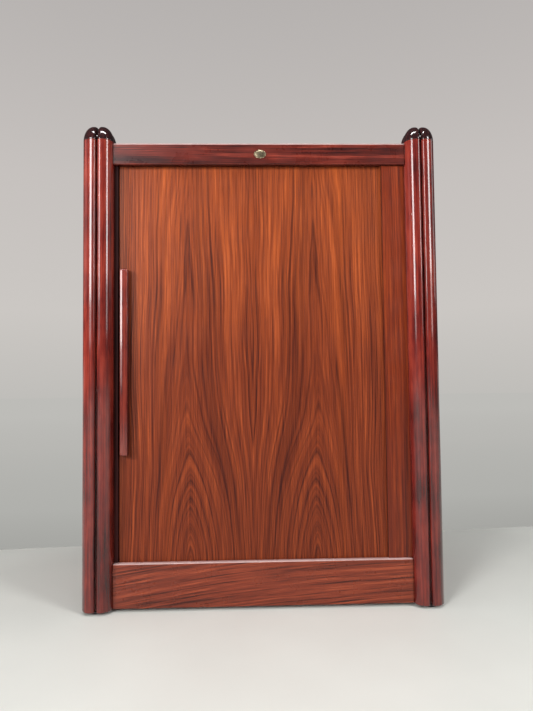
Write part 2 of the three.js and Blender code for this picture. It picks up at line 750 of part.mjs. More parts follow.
// Liners hide the track, and carry the shelf pins.
function addLiners() {
  const low = floorLevel + fitGap;
  const high = ceilingLevel - fitGap;
  let left = toSolid(block(at(leftLinerX - linerThick, insideFrontY, low), at(leftLinerX, rearLinerY - fitGap, high)));
  let right = toSolid(block(at(rightLinerX, rightLinerFrontY, low),
    at(rightLinerX + linerThick, rearLinerY - fitGap, high)));
  const pin = new THREE.CylinderGeometry(pinRadius, pinRadius, pinLength, pinSteps).rotateZ(Math.PI / 2);
  const hole = toSolid(new THREE.CylinderGeometry(pinRadius + fitGap, pinRadius + fitGap,
    2 * pinLength, pinSteps).rotateZ(Math.PI / 2));
  const pinYs = { front: insideFrontY + pinEndInset, rear: rearLinerY - pinEndInset };
  const shelfNames = ['lower', 'upper'];
  shelfBottoms.forEach((shelfBottom, index) => {
    const height = shelfBottom - pinRadius - fitGap;
    for (const [place, y] of Object.entries(pinYs)) {
      left = left.subtract(hole.translate([leftLinerX, y, height]));
      right = right.subtract(hole.translate([rightLinerX, y, height]));
      const leftX = leftLinerX - linerThick + pinLength / 2;
      const rightX = rightLinerX + linerThick - pinLength / 2;
      addPart(`shelf_pin_${shelfNames[index]}_left_${place}`, pin, 'brass', leftX, y, height);
      addPart(`shelf_pin_${shelfNames[index]}_right_${place}`, pin, 'brass', rightX, y, height);
    }
  });
  addPart('left_liner', toGeometry(left), 'inside');
  addPart('right_liner', toGeometry(right), 'inside');
  addPart('back_liner', block(at(leftLinerX - linerThick, rearLinerY, low),
    at(rightLinerX + linerThick, rearLinerY + linerThick, high)), 'inside');
}

function addShelves() {
  const left = leftLinerX + fitGap;
  const right = rightLinerX - fitGap;
  const front = insideFrontY + shelfFrontSetback;
  const rear = rearLinerY - fitGap;
  const names = ['shelf_lower', 'shelf_upper'];
  shelfBottoms.forEach((bottom, index) => {
    addPart(names[index], block(at(left, front, bottom), at(right, rear, bottom + shelfThick)), 'inside');
  });
  const bays = [
    { name: 'lower', low: floorLevel, high: shelfBottoms[0] },
    { name: 'middle', low: shelfBottoms[0] + shelfThick, high: shelfBottoms[1] },
  ];
  const pitch = (right - left + dividerThick) / (dividersPerBay + 1);
  for (const bay of bays) {
    for (let i = 1; i <= dividersPerBay; i += 1) {
      const x = left + i * pitch - dividerThick;
      const divider = block(at(x, front + dividerFrontSetback, bay.low + fitGap),
        at(x + dividerThick, rear, bay.high - fitGap));
      addPart(`divider_${bay.name}_${i}`, divider, 'inside');
    }
  }
}

addPosts();
addRails();
addPanels();
addBoards();
addStiles();
addDoor();
addBadge();
addLiners();
addShelves();

export default cabinet;
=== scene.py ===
# Dresses the record cabinet: rosewood, ebonised caps, brass and the tambour door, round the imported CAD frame.
# Metres, +Z up. The front faces -Y, and the origin is on the floor under the middle of the cabinet.

import math

import bpy
from mathutils import Matrix, Vector


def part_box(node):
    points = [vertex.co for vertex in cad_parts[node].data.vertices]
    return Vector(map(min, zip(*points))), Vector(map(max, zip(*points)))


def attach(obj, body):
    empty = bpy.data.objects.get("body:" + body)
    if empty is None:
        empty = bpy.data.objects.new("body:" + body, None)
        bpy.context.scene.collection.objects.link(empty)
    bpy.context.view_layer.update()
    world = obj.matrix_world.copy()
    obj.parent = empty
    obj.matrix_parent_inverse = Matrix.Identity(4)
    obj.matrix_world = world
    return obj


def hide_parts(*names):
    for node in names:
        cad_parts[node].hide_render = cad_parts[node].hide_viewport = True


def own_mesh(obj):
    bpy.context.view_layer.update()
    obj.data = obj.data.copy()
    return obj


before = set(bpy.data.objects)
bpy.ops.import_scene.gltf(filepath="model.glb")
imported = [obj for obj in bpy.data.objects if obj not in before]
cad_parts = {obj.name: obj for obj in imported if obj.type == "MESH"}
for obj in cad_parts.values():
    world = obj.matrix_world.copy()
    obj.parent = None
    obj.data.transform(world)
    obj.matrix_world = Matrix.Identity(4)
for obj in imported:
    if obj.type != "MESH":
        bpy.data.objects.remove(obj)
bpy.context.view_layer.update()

MM = 0.001
scene = bpy.context.scene


# Sizes read from the frame

POST_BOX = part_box("post_front_left")
SLATS_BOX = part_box("tambour_slats")
LEAD_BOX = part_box("lead_stile")
HANDLE_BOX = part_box("pull_handle")
BADGE_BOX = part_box("badge_plate")
STILE_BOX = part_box("fixed_stile")
CAP_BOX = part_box("cap_front_left")

POST_X = -(POST_BOX[0].x + POST_BOX[1].x) / 2
POST_Y = -(POST_BOX[0].y + POST_BOX[1].y) / 2
POST_BOTTOM = POST_BOX[0].z
POST_TOP = POST_BOX[1].z
POST_HALF = (POST_BOX[1].x - POST_BOX[0].x) / 2
CORNER_RADIUS = 24 * MM
LIP_RADIUS = 6 * MM
GROOVE_WIDTH = 3.6 * MM
GROOVE_WALL_DEPTH = 5.5 * MM
CORNER_CENTRE = POST_HALF - CORNER_RADIUS
LIP_CENTRE = POST_HALF - LIP_RADIUS
LIP_ACROSS = GROOVE_WIDTH / 2 + LIP_RADIUS
GROOVE_REACH = LIP_CENTRE - GROOVE_WALL_DEPTH
DOME_HEIGHT = CAP_BOX[1].z - POST_TOP
DOME_CREASE_DEPTH = 5 * MM
DOME_TOP_INSET = 0.3 * MM
LIP_STEPS = 12
CORNER_STEPS = 22
CORNERS = {
    "front_left": (-POST_X, -POST_Y),
    "front_right": (POST_X, -POST_Y),
    "rear_right": (POST_X, POST_Y),
    "rear_left": (-POST_X, POST_Y),
}


# Mesh helpers


def add_mesh(name, vertices, faces, material, body, node, sharp):
    """A piece in place of a CAD node, smooth but for edges sharper than the given angle in degrees."""
    mesh = bpy.data.meshes.new(name)
    mesh.from_pydata(vertices, [], faces)
    mesh.validate()
    mesh.update()
    mesh.polygons.foreach_set("use_smooth", [True] * len(mesh.polygons))
    mesh.set_sharp_from_angle(angle=math.radians(sharp))
    piece = bpy.data.objects.new(name, mesh)
    scene.collection.objects.link(piece)
    mesh.materials.append(material)
    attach(piece, body)
    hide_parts(node)
    return piece


def loft(rings, closed_ends=True):
    """Vertices and faces of a skin over rings of points that run anticlockwise seen from the last ring."""
    count = len(rings[0])
    vertices = [point for ring in rings for point in ring]
    faces = []
    for level in range(len(rings) - 1):
        low = level * count
        high = low + count
        for i in range(count):
            nxt = (i + 1) % count
            faces.append((low + i, low + nxt, high + nxt, high + i))
    if closed_ends:
        faces.append(tuple(reversed(range(count))))
        last = (len(rings) - 1) * count
        faces.append(tuple(range(last, last + count)))
    return vertices, faces


def arc(cx, cy, radius, start, end, steps):
    """Points of an arc in a plane, with both ends."""
    points = []
    for i in range(steps + 1):
        angle = start + (end - start) * i / steps
        points.append((cx + radius * math.cos(angle), cy + radius * math.sin(angle)))
    return points


def post_outline(inset=0.0):
    """Section of a post: large rounds at its corners, small ones at the lips of the groove in each side."""
    groove = GROOVE_WIDTH / 2 + inset
    reach = GROOVE_REACH - inset
    lip = LIP_RADIUS - inset
    quarter_turn = math.pi / 2
    stave = [(reach, groove)]
    stave += arc(LIP_CENTRE, LIP_ACROSS, lip, -quarter_turn, 0, LIP_STEPS)
    stave += arc(CORNER_CENTRE, CORNER_CENTRE, CORNER_RADIUS - inset, 0, quarter_turn, CORNER_STEPS)
    stave += arc(LIP_ACROSS, LIP_CENTRE, lip, quarter_turn, math.pi, LIP_STEPS)
    stave.append((groove, reach))
    points = []
    for quarter in range(4):
        c, s = math.cos(quarter * quarter_turn), math.sin(quarter * quarter_turn)
        points += [(x * c - y * s, x * s + y * c) for x, y in stave]
    return points


def close_ring(first, count, centre):
    """Faces that close a ring of the section: strips across each stave, and the core between them."""
    faces = []
    stave = count // 4
    for quarter in range(4):
        start = first + quarter * stave
        end = start + stave - 1
        for i in range(stave // 2):
            strip = [start + i, start + i + 1, end - i - 1, end - i]
            faces.append(tuple(dict.fromkeys(strip)))
        following = first + (quarter + 1) % 4 * stave
        faces += [(centre, start, end), (centre, end, following)]
    return faces


def skin(rings, bottom, top):
    """A closed skin over rings of the post's section, with the height of the middle of each end."""
    vertices, faces = loft(rings, closed_ends=False)
    count = len(rings[0])
    middle_x = sum(point[0] for point in rings[0]) / count
    middle_y = sum(point[1] for point in rings[0]) / count
    vertices += [(middle_x, middle_y, bottom), (middle_x, middle_y, top)]
    under = len(vertices) - 2
    faces += [tuple(reversed(face)) for face in close_ring(0, count, under)]
    faces += close_ring(count * (len(rings) - 1), count, under + 1)
    return vertices, faces


# Node helpers


class Graph:
    """Short calls that build one node tree."""

    def __init__(self, tree):
        self.tree = tree
        self.step = 0

    def node(self, kind, **settings):
        made = self.tree.nodes.new(kind)
        self.step += 1
        made.location = (-200 * (self.step % 12) - 200, -160 * (self.step // 12))
        for key, value in settings.items():
            setattr(made, key, value)
        return made

    def plug(self, socket, value):
        if isinstance(value, bpy.types.NodeSocket):
            self.tree.links.new(value, socket)
        else:
            socket.default_value = value

    def math(self, operation, a, b=0.0, c=0.0):
        made = self.node("ShaderNodeMath", operation=operation)
        for socket, value in zip(made.inputs, (a, b, c)):
            self.plug(socket, value)
        return made.outputs[0]

    def plus(self, total, *others):
        for other in others:
            total = self.math("ADD", total, other)
        return total

    def minus(self, a, b):
        return self.math("SUBTRACT", a, b)

    def times(self, product, *others):
        for other in others:
            product = self.math("MULTIPLY", product, other)
        return product

    def apart(self, a, b):
        """How far a lies from b, on either side."""
        return self.math("ABSOLUTE", self.minus(a, b))

    def place(self, from_uv=False):
        """The three coordinates of a point at rest, in metres."""
        source = self.node("ShaderNodeTexCoord").outputs["Object"]
        if from_uv:
            source = self.node("ShaderNodeUVMap", uv_map="rest").outputs["UV"]
        split = self.node("ShaderNodeSeparateXYZ")
        self.plug(split.inputs[0], source)
        return list(split.outputs)

    def vector(self, x, y, z):
        made = self.node("ShaderNodeCombineXYZ")
        for socket, value in zip(made.inputs, (x, y, z)):
            self.plug(socket, value)
        return made.outputs[0]

    def noise(self, vector, scale=1.0, detail=2.0, rough=0.5):
        made = self.node("ShaderNodeTexNoise", noise_dimensions="3D")
        self.plug(made.inputs["Vector"], vector)
        made.inputs["Scale"].default_value = scale
        made.inputs["Detail"].default_value = detail
        made.inputs["Roughness"].default_value = rough
        return made.outputs["Fac"]

    def stretched(self, *parts, detail=2.0, rough=0.5):
        """Noise with its own rate along each axis. A part is a coordinate and its rate, or a fixed place."""
        scaled = [self.times(*part) if isinstance(part, tuple) else part for part in parts]
        return self.noise(self.vector(*scaled), detail=detail, rough=rough)

    def sway(self, noise, reach):
        """A noise as a shift to either side, at most half the reach."""
        return self.times(self.minus(noise, 0.5), reach)

    def ramp(self, factor, stops):
        made = self.node("ShaderNodeValToRGB")
        elements = made.color_ramp.elements
        while len(elements) < len(stops):
            elements.new(0.5)
        for element, (position, colour) in zip(elements, stops):
            element.position = position
            element.color = (*colour, 1)
        self.plug(made.inputs[0], factor)
        return made.outputs["Color"]

    def span(self, value, low, high, out_low=0.0, out_high=1.0, smooth=True):
        made = self.node("ShaderNodeMapRange", clamp=True)
        made.interpolation_type = "SMOOTHSTEP" if smooth else "LINEAR"
        for index, number in enumerate((value, low, high, out_low, out_high)):
            self.plug(made.inputs[index], number)
        return made.outputs[0]

    def mix(self, factor, a, b, blend="MIX"):
        made = self.node("ShaderNodeMix", data_type="RGBA", blend_type=blend)
        self.plug(made.inputs[0], factor)
        for socket, value in ((made.inputs[6], a), (made.inputs[7], b)):
            self.plug(socket, (*value, 1) if isinstance(value, tuple) else value)
        return made.outputs[2]

    def bump(self, height, strength, distance):
        made = self.node("ShaderNodeBump")
        made.inputs["Strength"].default_value = strength
        made.inputs["Distance"].default_value = distance
        self.plug(made.inputs["Height"], height)
        return made.outputs["Normal"]


def material_graph(name):
    """The graph of a new material, with one principled shader."""
    material = bpy.data.materials.new(name)
    material.use_nodes = True
    g = Graph(material.node_tree)
    g.material = material
    g.tree.nodes.clear()
    g.shader = g.tree.nodes.new("ShaderNodeBsdfPrincipled")
    output = g.tree.nodes.new("ShaderNodeOutputMaterial")
    g.plug(output.inputs["Surface"], g.shader.outputs["BSDF"])
    return g


def srgb(r, g, b):
    """Linear colour of an 8-bit one."""
    def channel(value):
        value /= 255
        return value / 12.92 if value <= 0.04045 else ((value + 0.055) / 1.055) ** 2.4
    return (channel(r), channel(g), channel(b))


# Rosewood. Every kind is the same wood: growth rings cut by the surface, dark veins, pores and a sheen.

AXES = {"x": 0, "y": 1, "z": 2}
SEED_STEP = 0.731
# Rates of the noises are per metre. A span gives the noise values between which a mark fades in
BAND_RATE = 34.0
FIBRE_RATE = 400.0
MOTTLE_RATE = 30.0
HAIR_RATE = 1100.0
HAIR_ALONG_RATE = 26.0
HAIR_SPAN = (0.56, 0.7)
HAIR_DARKNESS = 0.3
PORE_SPAN = (0.66, 0.74)
PORE_DARKNESS = 0.35
PORE_ROUGHNESS = 0.08
RUB_RATE = 22.0
RUB_SPAN = (0.35, 0.7)
FIBRE_HEIGHT = 0.4
GRAIN_BUMP_STRENGTH = 0.2
GRAIN_BUMP_HEIGHT = 0.1 * MM
LACQUER_ROUGHNESS = 0.08
RING_TILT = 0.6


def rosewood(name, along, palette, seed, rings, across=None, from_uv=False, coat=0.0, gloss=(0.26, 0.36),
             specular=0.4, pores=1.0, relief=1.0, weights=(0.3, 0.38, 0.32), spread=0.12, line_rate=200.0,
             straight_fibre=False, mottle=0.0, figure=None, fade=None):
    """rings(graph, across, depth, along) returns the ring coordinate in metres. figure adds marks of its own.
    weights are the shares of broad bands, growth lines and fibres in the tone. A small spread makes the dark
    and light lines differ more. fade gives two places along the board, and the colours that the wood is
    multiplied by there: painted light and shade by height. straight_fibre lets the finest lines run straight
    through the figure."""
    g = material_graph(name)
    place = g.place(from_uv)
    if from_uv:
        across_at, along_at, depth_at = place
    else:
        grain = AXES[along]
        side = AXES[across]
        along_at, across_at, depth_at = place[grain], place[side], place[3 - grain - side]
    ring = g.plus(rings(g, across_at, depth_at, along_at), seed * SEED_STEP)
    band = g.stretched((ring, BAND_RATE), (along_at, 0.7), seed)
    line = g.stretched((ring, line_rate), (along_at, 2.2), seed + 3, rough=0.6)
    fibre_at, fibre_turn = (across_at, 6.0) if straight_fibre else (ring, 9.0)
    fibre = g.stretched((fibre_at, FIBRE_RATE), (along_at, fibre_turn), seed + 7, rough=0.7)
    tone = g.plus(g.times(band, weights[0]), g.times(line, weights[1]), g.times(fibre, weights[2]))
    if mottle:
        cloud = g.stretched((across_at, MOTTLE_RATE), (along_at, 11.0), (depth_at, MOTTLE_RATE), detail=3,
                            rough=0.6)
        tone = g.plus(tone, g.sway(cloud, mottle))
    colour = g.ramp(g.span(tone, 0.5 - spread, 0.5 + spread, smooth=False), palette["tones"])
    if figure:
        colour = figure(g, across_at, depth_at, along_at, colour)
    # Painted light and shade by height: the wood is multiplied by a colour that runs from the first place to
    # the second
    if fade:
        start, end, at_start, at_end = fade
        shade = g.mix(g.span(along_at, start, end, smooth=False), at_start, at_end)
        colour = g.mix(1.0, colour, shade, "MULTIPLY")
    # Hair lines and pores: short dark dashes along the grain
    hair = g.stretched((across_at, HAIR_RATE), (along_at, HAIR_ALONG_RATE), (depth_at, HAIR_RATE), rough=0.6)
    colour = g.mix(g.span(hair, *HAIR_SPAN, 0.0, HAIR_DARKNESS), colour, palette["pore"])
    pore = g.times(g.span(hair, *PORE_SPAN), pores)
    colour = g.mix(g.times(pore, PORE_DARKNESS), colour, palette["pore"])
    g.plug(g.shader.inputs["Base Color"], colour)
    rub = g.noise(g.vector(across_at, along_at, depth_at), scale=RUB_RATE, detail=3, rough=0.6)
    rough = g.plus(g.span(rub, *RUB_SPAN, *gloss), g.times(pore, PORE_ROUGHNESS))
    g.plug(g.shader.inputs["Roughness"], rough)
    height = g.minus(g.times(fibre, FIBRE_HEIGHT), pore)
    g.plug(g.shader.inputs["Normal"], g.bump(height, GRAIN_BUMP_STRENGTH * relief, GRAIN_BUMP_HEIGHT))
    g.shader.inputs["Specular IOR Level"].default_value = specular
    g.shader.inputs["Coat Weight"].default_value = coat
    g.shader.inputs["Coat Roughness"].default_value = LACQUER_ROUGHNESS
    return g.material


def straight_rings(waviness, slant=0.0, bend=0.0):
    """Quarter-sawn grain: lines that wander slowly, and may slant or bend along the board."""
    def rings(g, across, depth, along):
        wander = g.stretched((across, 4.0), (along, 1.6), (depth, 4.0), detail=1)
        wavy = g.plus(across, g.sway(wander, 2 * waviness))
        return g.plus(wavy, g.times(along, slant), g.times(along, along, bend), g.times(depth, RING_TILT))
    return rings


LEAF_WIDTH = 240 * MM
LEAF_LOW_CUT = 4 * MM
LEAF_HIGH_CUT = 60 * MM
LEAF_SQUEEZE = 0.6
LEAF_LEAN = 0.22
LEAF_DRIFT = 30 * MM
LEAF_CROOK = 7 * MM


def cathedral_rings(low, high):
    """Slip-matched veneer: each leaf repeats, with arches between two heights, low ones nearest the pith."""
    def rings(g, across, depth, along):
        from_edge = g.minus(across, -LEAF_WIDTH / 2)
        leaf = g.math("FLOOR", g.math("DIVIDE", from_edge, LEAF_WIDTH))
        inside = g.minus(g.minus(from_edge, g.times(leaf, LEAF_WIDTH)), LEAF_WIDTH / 2)
        drift = g.stretched((inside, 3.0), (along, 2.2), 0.0, detail=1)
        inside = g.plus(inside, g.sway(drift, LEAF_DRIFT))
        crook = g.stretched((inside, 9.0), (along, 7.0), 4.0, detail=1)
        inside = g.plus(inside, g.sway(crook, LEAF_CROOK))
        cut = g.span(along, low, high, LEAF_LOW_CUT, LEAF_HIGH_CUT)
        squared = g.plus(g.math("POWER", g.times(inside, LEAF_SQUEEZE), 2.0), g.math("POWER", cut, 2.0))
        return g.plus(g.math("SQRT", squared), g.times(inside, LEAF_LEAN))
    return rings


# Palettes: tones from the darkest lines to the lightest, with the pores, as linear colours

TONE_PLACES = (0.0, 0.3, 0.52, 0.75, 1.0)


def wood_palette(tones, pore, places=TONE_PLACES):
    return {"tones": [(place, srgb(*tone)) for place, tone in zip(places, tones)], "pore": srgb(*pore)}


DOOR_PALETTE = wood_palette([(56, 22, 15), (91, 37, 19), (107, 45, 22), (121, 53, 25), (146, 67, 31)],
                            (52, 17, 12))
STILE_PALETTE = wood_palette([(49, 15, 12), (83, 28, 14), (98, 35, 16), (110, 42, 18), (130, 55, 24)],
                             (44, 13, 11))
RAIL_PALETTE = wood_palette([(38, 11, 11), (66, 22, 17), (78, 26, 20), (90, 32, 24), (116, 48, 37)],
                            (34, 11, 11))
PLINTH_PALETTE = wood_palette([(48, 18, 14), (88, 36, 23), (102, 42, 27), (112, 48, 30), (130, 60, 38)],
                              (46, 16, 14))
POST_PALETTE = wood_palette([(60, 17, 16), (84, 25, 22), (99, 31, 26), (110, 37, 29), (124, 46, 35)],
                            (42, 12, 13))
INSIDE_PALETTE = wood_palette([(96, 56, 38), (140, 88, 58), (158, 102, 68), (168, 110, 74), (182, 124, 84)],
                              (88, 50, 34))
# The strike stile's near-black tone is partly dark stain and partly painted shade of the nook beside the post
STRIKE_AND_SHADE_PALETTE = wood_palette([(24, 9, 9), (44, 16, 15), (66, 26, 22)], (18, 8, 8), places=(0.0, 0.5, 1.0))
# Colour of the dark veins, also used for the painted shade at the fixed stile's left edge
VEIN_AND_SHADE_TONE = srgb(50, 17, 12)
STREAK_TONE = srgb(158, 70, 20)
# Colour of the painted highlight along the upper front edges of the rails
LIP_HIGHLIGHT_TONE = srgb(158, 132, 129)


# The door's veneer is two leaves of one flitch, opened like a book about the middle of the door

MIRROR_X = (LEAD_BOX[0].x + STILE_BOX[0].x) / 2
HEART_FROM_MIRROR = 142 * MM
INNER_STRETCH = 1.2
OUTER_STRETCH = 0.8
ARCH_LOW = 105 * MM
ARCH_HIGH = 390 * MM
ARCH_DEPTH = 76 * MM
ARCH_BLEND = 50 * MM
ARCH_POWER = 1.5
TOP_DEPTH = 90 * MM
DRIFT_REACH = 36 * MM
CROOK_REACH = 5 * MM
MISMATCH_REACH = 10 * MM
WAVE_REACH = 4 * MM
RING_LEAN = 0.15
# The cut counts in full near the heart, and half at the mirror line
CUT_FADE = (20 * MM, HEART_FROM_MIRROR, 1.0, 0.5)
BRIGHT_STREAK = 58 * MM
STREAK_FADE = (20 * MM, 3 * MM)
STREAK_STRENGTH = 0.14
DARK_RING = 92 * MM
VEINS_FROM_HEART = (0.0, 20 * MM)
# Place, half width and strength of the dark veins on the inner side of each leaf
DARK_VEINS = (
    (DARK_RING, 6 * MM, 0.3),
    (DARK_RING - 10 * MM, 1.2 * MM, 0.5),
    (DARK_RING + 9 * MM, 1.1 * MM, 0.45),
    (DARK_RING - 20 * MM, 1.2 * MM, 0.4),
)


def door_leaf(g, across, depth, along):
    """Arches low on each leaf, where the cut nears the pith, and nearly straight lines above them."""
    from_mirror = g.apart(across, MIRROR_X)
    drift = g.stretched((from_mirror, 3.0), (along, 2.6), 1.0, detail=1)
    crook = g.stretched((from_mirror, 12.0), (along, 5.0), 4.0, detail=1)
    mismatch = g.stretched((across, 6.0), (along, 4.0), 8.0, detail=1)
    shift = g.plus(g.sway(drift, DRIFT_REACH), g.sway(crook, CROOK_REACH), g.sway(mismatch, MISMATCH_REACH))
    inwards = g.plus(g.minus(HEART_FROM_MIRROR, from_mirror), shift)
    off_heart = g.math("MAXIMUM", g.math("DIVIDE", inwards, INNER_STRETCH),
                       g.math("DIVIDE", inwards, -OUTER_STRETCH))
    steep = ARCH_DEPTH / (ARCH_HIGH - ARCH_LOW)
    gentle = (TOP_DEPTH - ARCH_DEPTH) / (SLATS_BOX[1].z - ARCH_HIGH)
    low_part = g.times(g.minus(along, ARCH_LOW), steep)
    high_part = g.plus(g.times(g.minus(along, ARCH_HIGH), gentle), ARCH_DEPTH)
    cut = g.math("MAXIMUM", g.math("SMOOTH_MIN", low_part, high_part, ARCH_BLEND), 0.0)
    wave = g.stretched((from_mirror, 8.0), (along, 8.0), 6.0, detail=1)
    cut = g.math("MAXIMUM", g.plus(cut, g.sway(wave, WAVE_REACH)), 0.0)
    cut = g.times(cut, g.span(off_heart, *CUT_FADE))
    ring = g.plus(g.math("POWER", off_heart, ARCH_POWER), g.math("POWER", cut, ARCH_POWER))
    return g.math("POWER", ring, 1 / ARCH_POWER), inwards


def door_rings(g, across, depth, along):
    ring, inwards = door_leaf(g, across, depth, along)
    return g.plus(ring, g.times(inwards, RING_LEAN))


def door_figure(g, across, depth, along, colour):
    """The bright streak on the outer side of each leaf, and the dark veins on its inner side."""
    ring, inwards = door_leaf(g, across, depth, along)
    from_streak = g.math("ABSOLUTE", g.plus(inwards, BRIGHT_STREAK))
    breakup = g.stretched((across, 260.0), (along, 3.0), 2.0)
    streak = g.times(g.span(from_streak, *STREAK_FADE), g.span(breakup, 0.3, 0.6))
    colour = g.mix(g.times(streak, STREAK_STRENGTH), colour, STREAK_TONE)
    on_inner_side = g.span(inwards, *VEINS_FROM_HEART)
    for place, half_width, strength in DARK_VEINS:
        near = g.span(g.apart(ring, place), half_width, half_width * 0.3)
        colour = g.mix(g.times(near, on_inner_side, strength), colour, VEIN_AND_SHADE_TONE)
    return colour


# Painted highlights on the rails' top edges, and painted shade and figure on the fixed stile

LIP_FADE = 1.2 * MM
LIP_FROM_FRONT = (13 * MM, 8 * MM)
LIP_HIGHLIGHT_PATCHES = (0.2, 0.6, 0.75, 0.95)
# Painted shade along the fixed stile's left edge: where it fades and how strong it is
STILE_EDGE_SHADE = (1.2 * MM, 0.5 * MM)
STILE_EDGE_SHADE_STRENGTH = 0.8
STILE_VEIN_X = STILE_BOX[0].x + 23 * MM
STILE_VEIN_SWAY = 12 * MM
STILE_VEIN_FADE = (2.4 * MM, 0.6 * MM)
STILE_VEIN_STRENGTH = 0.45


def painted_lip_highlight(node_name, height):
    """A painted highlight along the upper front edge of a rail, in patches."""
    low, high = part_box(node_name)

    def figure(g, across, depth, along, colour):
        near_top = g.span(across, high.z - height, high.z - height + LIP_FADE)
        near_front = g.span(depth, low.y + LIP_FROM_FRONT[0], low.y + LIP_FROM_FRONT[1])
        patches = g.noise(g.vector(g.times(along, 40.0), across, depth), detail=3, rough=0.6)
        # Share of the painted highlight: near the top, near the front, in patches
        share = g.times(near_top, near_front, g.span(patches, *LIP_HIGHLIGHT_PATCHES))
        return g.mix(share, colour, LIP_HIGHLIGHT_TONE)
    return figure


def stile_figure(g, across, depth, along, colour):
    """Painted shade along the edge where the curtain runs in behind the stile, and one thin wavy vein."""
    # Painted shade in the gap at the stile's left edge
    edge = g.span(across, STILE_BOX[0].x + STILE_EDGE_SHADE[0], STILE_BOX[0].x + STILE_EDGE_SHADE[1])
    colour = g.mix(g.times(edge, STILE_EDGE_SHADE_STRENGTH), colour, VEIN_AND_SHADE_TONE)
    bends = g.noise(g.vector(0.0, g.times(along, 9.0), 5.0))
    vein_at = g.plus(STILE_VEIN_X, g.sway(bends, STILE_VEIN_SWAY))
    near = g.span(g.apart(across, vein_at), *STILE_VEIN_FADE)
    return g.mix(g.times(near, STILE_VEIN_STRENGTH), colour, VEIN_AND_SHADE_TONE)


# The woods: name, grain direction, palette and seed. The door and the leading stile share one veneer

door_veneer = {
    "gloss": (0.34, 0.42),
    "specular": 0.12,
    "figure": door_figure,
    "weights": (0.14, 0.5, 0.36),
    # Painted light: the veneer turns lighter and paler towards the top, for the sheen of the windows on the
    # door
    "fade": (0.55, 0.9, (0.83, 0.86, 1.05), (1.2, 1.36, 1.4)),
    "spread": 0.125,
    "straight_fibre": True,
    "line_rate": 260.0,
}
polished = {"across": "x", "gloss": (0.13, 0.18), "coat": 0.5, "pores": 0.15, "relief": 0.05, "spread": 0.11}

door_wood = rosewood("door_wood", "z", DOOR_PALETTE, 2.0, door_rings, from_uv=True, **door_veneer)
lead_wood = rosewood("lead_wood", "z", DOOR_PALETTE, 2.0, door_rings, across="x", **door_veneer)
# The stile's fade is painted shade, darker towards the foot
stile_wood = rosewood("stile_wood", "z", STILE_PALETTE, 5.0, straight_rings(9 * MM), across="x",
                      gloss=(0.3, 0.38), specular=0.25, figure=stile_figure,
                      fade=(0.2, 0.95, (0.86, 0.88, 0.9), (1.06, 1.1, 1.1)))
top_rail_wood = rosewood("top_rail_wood", "x", RAIL_PALETTE, 8.0, straight_rings(8 * MM), across="z",
                         gloss=(0.26, 0.34), specular=0.3, mottle=0.16, spread=0.085,
                         figure=painted_lip_highlight("front_top_rail", 4.5 * MM))
plinth_wood = rosewood("plinth_wood", "x", PLINTH_PALETTE, 11.0,
                       straight_rings(12 * MM, slant=-0.11, bend=0.1), across="z", specular=0.3, spread=0.1,
                       weights=(0.2, 0.4, 0.4),
                       figure=painted_lip_highlight("front_bottom_rail", 2.6 * MM))
side_rail_wood = rosewood("side_rail_wood", "y", RAIL_PALETTE, 14.0, straight_rings(8 * MM), across="z",
                          gloss=(0.24, 0.34))
panel_wood = rosewood("panel_wood", "z", STILE_PALETTE, 17.0, cathedral_rings(200 * MM, 900 * MM), across="y",
                      gloss=(0.3, 0.4), specular=0.35)
back_wood = rosewood("back_wood", "z", STILE_PALETTE, 19.0, cathedral_rings(150 * MM, 800 * MM), across="x",
                     gloss=(0.32, 0.44), specular=0.35)
top_wood = rosewood("top_wood", "x", STILE_PALETTE, 23.0, straight_rings(12 * MM), across="y",
                    gloss=(0.24, 0.34))
# The posts' fade is painted shade, darker and redder towards the foot
post_wood = rosewood("post_wood", "z", POST_PALETTE, 29.0, straight_rings(4 * MM), specular=0.32, mottle=0.4,
                     fade=(0.1, 0.8, (0.74, 0.62, 0.6), (0.98, 1.0, 1.0)), **polished)
# The pull's fade is painted shade, darker towards its foot
handle_wood = rosewood("handle_wood", "z", POST_PALETTE, 47.0, straight_rings(4 * MM), specular=0.35,
                       mottle=0.5, fade=(0.35, 0.78, (0.62, 0.68, 0.7), (0.84, 0.95, 0.95)), **polished)
# Dark strike stile: partly dark stain, partly painted shade of the nook beside the post
strike_wood_and_shade = rosewood("strike_wood_and_shade", "z", STRIKE_AND_SHADE_PALETTE, 3.0, straight_rings(4 * MM), across="x",
                       gloss=(0.6, 0.7), specular=0.08)
inside_upright, inside_back, inside_flat = (
    rosewood(name, along, INSIDE_PALETTE, seed, straight_rings(6 * MM), across=across, gloss=(0.5, 0.62))
    for name, along, seed, across in (
        ("inside_upright", "z", 31.0, "y"), ("inside_back", "z", 37.0, "x"), ("inside_flat", "x", 41.0, "y"))
)


# Other materials


def make_ebonised():
    """Stained near black and polished, with a trace of brown and of the grain."""
    g = material_graph("ebonised")
    x, y, z = g.place()
    grain = g.stretched((x, 260.0), (y, 260.0), (z, 14.0))
    colour = g.ramp(grain, [(0.3, srgb(22, 11, 12)), (0.6, srgb(42, 19, 20)), (0.8, srgb(66, 28, 26))])
    g.plug(g.shader.inputs["Base Color"], colour)
    smear = g.noise(g.vector(x, y, z), scale=60.0)
    g.plug(g.shader.inputs["Roughness"], g.span(smear, 0.3, 0.7, 0.08, 0.15))
    g.plug(g.shader.inputs["Normal"], g.bump(smear, 0.1, 0.3 * MM))
    g.shader.inputs["Coat Weight"].default_value = 0.6
    g.shader.inputs["Coat Roughness"].default_value = 0.06
    return g.material


